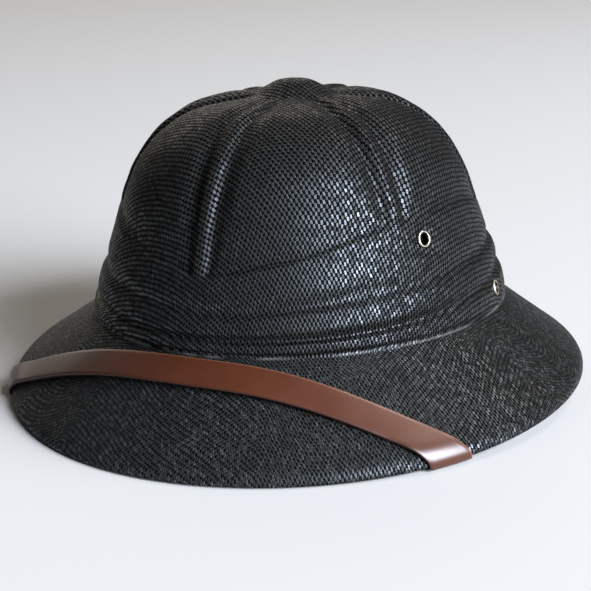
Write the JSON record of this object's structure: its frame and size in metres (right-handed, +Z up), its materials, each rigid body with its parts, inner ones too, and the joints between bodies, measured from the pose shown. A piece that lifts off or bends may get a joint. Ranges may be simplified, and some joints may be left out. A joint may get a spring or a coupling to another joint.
{
  "type": "straw sun hat",
  "caption": "Helmet-shaped sun hat of pressed woven straw with a ribbed domed crown, a folded band, a sloping brim, vent eyelets and a leather chin strap across the brim.",
  "frame": {"origin": "middle of the bounding box, on the surface that the brim's edge stands on", "axes": "+Z up, the hat's front towards -Y, the wearer's left towards +X"},
  "size_m": [0.2908, 0.3288, 0.1529],
  "materials": {
    "straw": "woven",
    "strap_leather": "smooth",
    "eyelet_brass": "antique"
  },
  "bodies": {
    "root": {"straw_body": "straw", "chin_strap": "strap_leather", "eyelet_left_front": "eyelet_brass", "eyelet_left_rear": "eyelet_brass", "eyelet_right_front": "eyelet_brass", "eyelet_right_rear": "eyelet_brass"}
  },
  "joints": []
}
